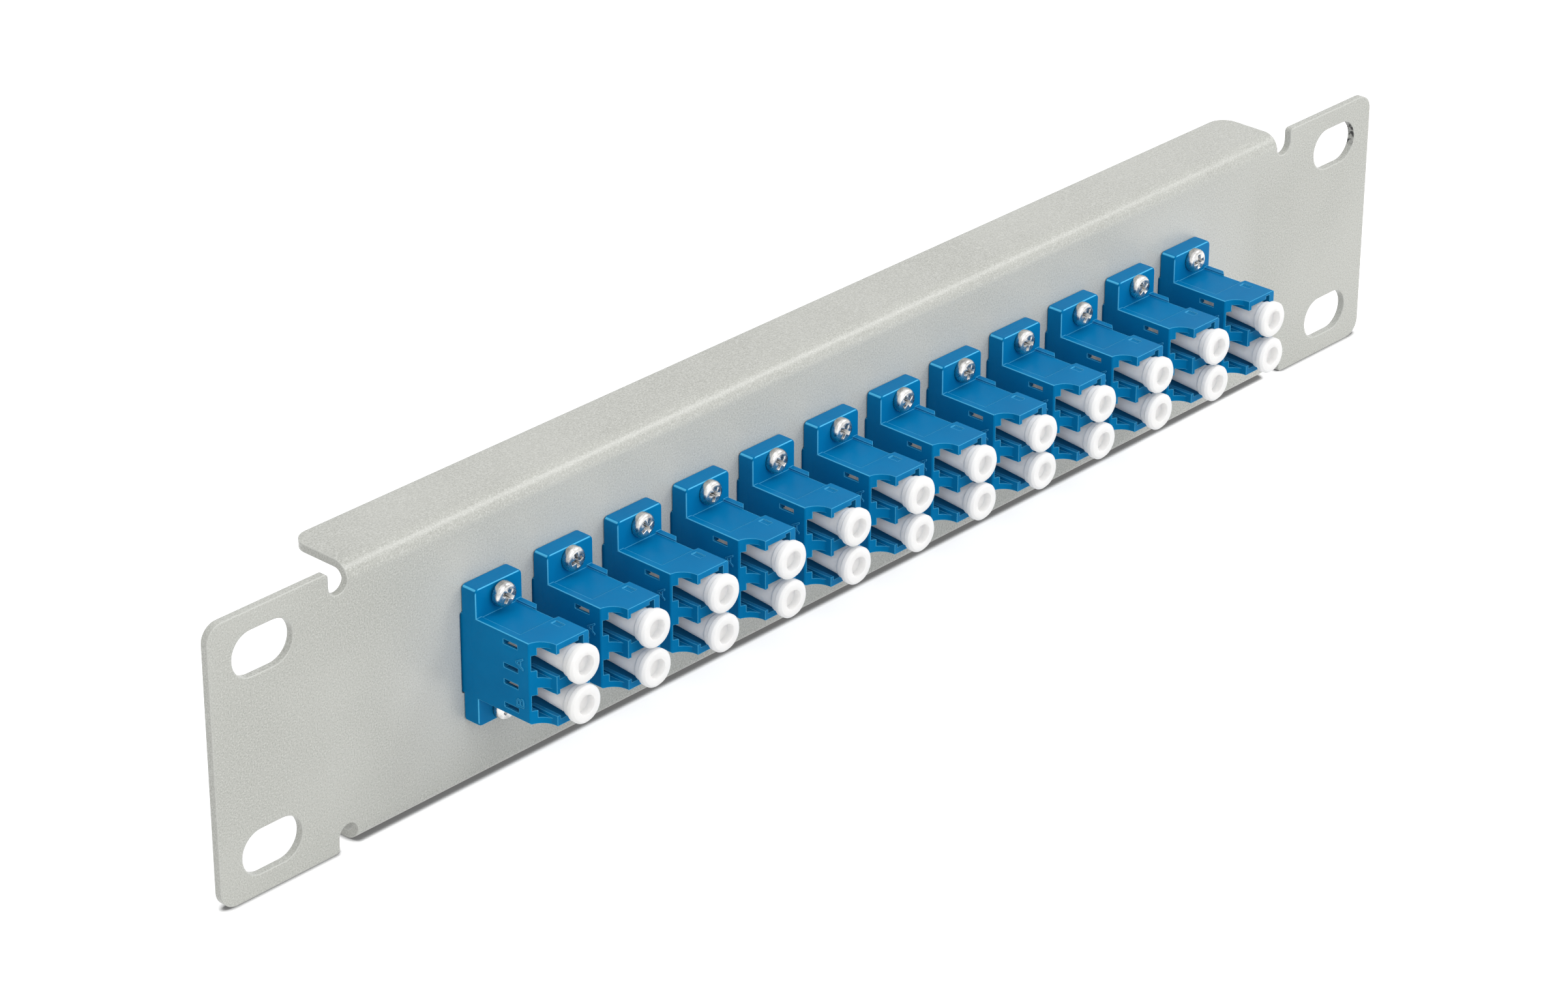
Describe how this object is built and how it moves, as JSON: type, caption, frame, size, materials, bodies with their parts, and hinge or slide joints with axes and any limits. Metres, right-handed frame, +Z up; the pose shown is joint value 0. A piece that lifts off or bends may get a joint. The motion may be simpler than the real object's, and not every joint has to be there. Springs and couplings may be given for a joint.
{
  "type": "fibre patch panel",
  "caption": "Folded steel rack panel one unit high, with a row of upright duplex fibre couplers screwed to it and a pull-out dust cap in each front port.",
  "frame": {"origin": "middle of the four ear slots, on the rear face of the ears, which is the face that meets the rack rails", "axes": "+X along the panel to the viewer's right, +Y from the front to the back, +Z up"},
  "size_m": [0.2544, 0.0354, 0.0434],
  "materials": {
    "grey_powder_coat": "fine powder coat",
    "blue_plastic": "moulded, slightly glossy",
    "white_cap_plastic": "soft translucent",
    "holder_plastic": "moulded",
    "zirconia": "ground",
    "nickel_plate": "bright nickel plate"
  },
  "bodies": {
    "panel_assembly": {"panel": "grey_powder_coat", "coupler_01_front_housing": "blue_plastic", "coupler_01_rear_housing": "blue_plastic", "coupler_02_front_housing": "blue_plastic", "coupler_02_rear_housing": "blue_plastic", "coupler_03_front_housing": "blue_plastic", "coupler_03_rear_housing": "blue_plastic", "coupler_04_front_housing": "blue_plastic", "coupler_04_rear_housing": "blue_plastic", "coupler_05_front_housing": "blue_plastic", "coupler_05_rear_housing": "blue_plastic", "coupler_06_front_housing": "blue_plastic", "coupler_06_rear_housing": "blue_plastic", "coupler_07_front_housing": "blue_plastic", "coupler_07_rear_housing": "blue_plastic", "coupler_08_front_housing": "blue_plastic", "coupler_08_rear_housing": "blue_plastic", "coupler_09_front_housing": "blue_plastic", "coupler_09_rear_housing": "blue_plastic", "coupler_10_front_housing": "blue_plastic", "coupler_10_rear_housing": "blue_plastic", "coupler_11_front_housing": "blue_plastic", "coupler_11_rear_housing": "blue_plastic", "coupler_12_front_housing": "blue_plastic", "coupler_12_rear_housing": "blue_plastic", "rear_dust_caps": "white_cap_plastic", "sleeve_holders": "holder_plastic", "split_sleeves": "zirconia", "fixing_screws": "nickel_plate", "fixing_nuts": "nickel_plate"},
    "coupler_01_cap_a": {"coupler_01_cap_a": "white_cap_plastic"},
    "coupler_01_cap_b": {"coupler_01_cap_b": "white_cap_plastic"},
    "coupler_02_cap_a": {"coupler_02_cap_a": "white_cap_plastic"},
    "coupler_02_cap_b": {"coupler_02_cap_b": "white_cap_plastic"},
    "coupler_03_cap_a": {"coupler_03_cap_a": "white_cap_plastic"},
    "coupler_03_cap_b": {"coupler_03_cap_b": "white_cap_plastic"},
    "coupler_04_cap_a": {"coupler_04_cap_a": "white_cap_plastic"},
    "coupler_04_cap_b": {"coupler_04_cap_b": "white_cap_plastic"},
    "coupler_05_cap_a": {"coupler_05_cap_a": "white_cap_plastic"},
    "coupler_05_cap_b": {"coupler_05_cap_b": "white_cap_plastic"},
    "coupler_06_cap_a": {"coupler_06_cap_a": "white_cap_plastic"},
    "coupler_06_cap_b": {"coupler_06_cap_b": "white_cap_plastic"},
    "coupler_07_cap_a": {"coupler_07_cap_a": "white_cap_plastic"},
    "coupler_07_cap_b": {"coupler_07_cap_b": "white_cap_plastic"},
    "coupler_08_cap_a": {"coupler_08_cap_a": "white_cap_plastic"},
    "coupler_08_cap_b": {"coupler_08_cap_b": "white_cap_plastic"},
    "coupler_09_cap_a": {"coupler_09_cap_a": "white_cap_plastic"},
    "coupler_09_cap_b": {"coupler_09_cap_b": "white_cap_plastic"},
    "coupler_10_cap_a": {"coupler_10_cap_a": "white_cap_plastic"},
    "coupler_10_cap_b": {"coupler_10_cap_b": "white_cap_plastic"},
    "coupler_11_cap_a": {"coupler_11_cap_a": "white_cap_plastic"},
    "coupler_11_cap_b": {"coupler_11_cap_b": "white_cap_plastic"},
    "coupler_12_cap_a": {"coupler_12_cap_a": "white_cap_plastic"},
    "coupler_12_cap_b": {"coupler_12_cap_b": "white_cap_plastic"}
  },
  "joints": [
    {"name": "coupler_01_cap_a_pull", "type": "slide", "parent": "panel_assembly", "child": "coupler_01_cap_a", "axis": [0, -1, 0], "range_m": [0, 0.014]},
    {"name": "coupler_01_cap_b_pull", "type": "slide", "parent": "panel_assembly", "child": "coupler_01_cap_b", "axis": [0, -1, 0], "range_m": [0, 0.014]},
    {"name": "coupler_02_cap_a_pull", "type": "slide", "parent": "panel_assembly", "child": "coupler_02_cap_a", "axis": [0, -1, 0], "range_m": [0, 0.014]},
    {"name": "coupler_02_cap_b_pull", "type": "slide", "parent": "panel_assembly", "child": "coupler_02_cap_b", "axis": [0, -1, 0], "range_m": [0, 0.014]},
    {"name": "coupler_03_cap_a_pull", "type": "slide", "parent": "panel_assembly", "child": "coupler_03_cap_a", "axis": [0, -1, 0], "range_m": [0, 0.014]},
    {"name": "coupler_03_cap_b_pull", "type": "slide", "parent": "panel_assembly", "child": "coupler_03_cap_b", "axis": [0, -1, 0], "range_m": [0, 0.014]},
    {"name": "coupler_04_cap_a_pull", "type": "slide", "parent": "panel_assembly", "child": "coupler_04_cap_a", "axis": [0, -1, 0], "range_m": [0, 0.014]},
    {"name": "coupler_04_cap_b_pull", "type": "slide", "parent": "panel_assembly", "child": "coupler_04_cap_b", "axis": [0, -1, 0], "range_m": [0, 0.014]},
    {"name": "coupler_05_cap_a_pull", "type": "slide", "parent": "panel_assembly", "child": "coupler_05_cap_a", "axis": [0, -1, 0], "range_m": [0, 0.014]},
    {"name": "coupler_05_cap_b_pull", "type": "slide", "parent": "panel_assembly", "child": "coupler_05_cap_b", "axis": [0, -1, 0], "range_m": [0, 0.014]},
    {"name": "coupler_06_cap_a_pull", "type": "slide", "parent": "panel_assembly", "child": "coupler_06_cap_a", "axis": [0, -1, 0], "range_m": [0, 0.014]},
    {"name": "coupler_06_cap_b_pull", "type": "slide", "parent": "panel_assembly", "child": "coupler_06_cap_b", "axis": [0, -1, 0], "range_m": [0, 0.014]},
    {"name": "coupler_07_cap_a_pull", "type": "slide", "parent": "panel_assembly", "child": "coupler_07_cap_a", "axis": [0, -1, 0], "range_m": [0, 0.014]},
    {"name": "coupler_07_cap_b_pull", "type": "slide", "parent": "panel_assembly", "child": "coupler_07_cap_b", "axis": [0, -1, 0], "range_m": [0, 0.014]},
    {"name": "coupler_08_cap_a_pull", "type": "slide", "parent": "panel_assembly", "child": "coupler_08_cap_a", "axis": [0, -1, 0], "range_m": [0, 0.014]},
    {"name": "coupler_08_cap_b_pull", "type": "slide", "parent": "panel_assembly", "child": "coupler_08_cap_b", "axis": [0, -1, 0], "range_m": [0, 0.014]},
    {"name": "coupler_09_cap_a_pull", "type": "slide", "parent": "panel_assembly", "child": "coupler_09_cap_a", "axis": [0, -1, 0], "range_m": [0, 0.014]},
    {"name": "coupler_09_cap_b_pull", "type": "slide", "parent": "panel_assembly", "child": "coupler_09_cap_b", "axis": [0, -1, 0], "range_m": [0, 0.014]},
    {"name": "coupler_10_cap_a_pull", "type": "slide", "parent": "panel_assembly", "child": "coupler_10_cap_a", "axis": [0, -1, 0], "range_m": [0, 0.014]},
    {"name": "coupler_10_cap_b_pull", "type": "slide", "parent": "panel_assembly", "child": "coupler_10_cap_b", "axis": [0, -1, 0], "range_m": [0, 0.014]},
    {"name": "coupler_11_cap_a_pull", "type": "slide", "parent": "panel_assembly", "child": "coupler_11_cap_a", "axis": [0, -1, 0], "range_m": [0, 0.014]},
    {"name": "coupler_11_cap_b_pull", "type": "slide", "parent": "panel_assembly", "child": "coupler_11_cap_b", "axis": [0, -1, 0], "range_m": [0, 0.014]},
    {"name": "coupler_12_cap_a_pull", "type": "slide", "parent": "panel_assembly", "child": "coupler_12_cap_a", "axis": [0, -1, 0], "range_m": [0, 0.014]},
    {"name": "coupler_12_cap_b_pull", "type": "slide", "parent": "panel_assembly", "child": "coupler_12_cap_b", "axis": [0, -1, 0], "range_m": [0, 0.014]}
  ]
}
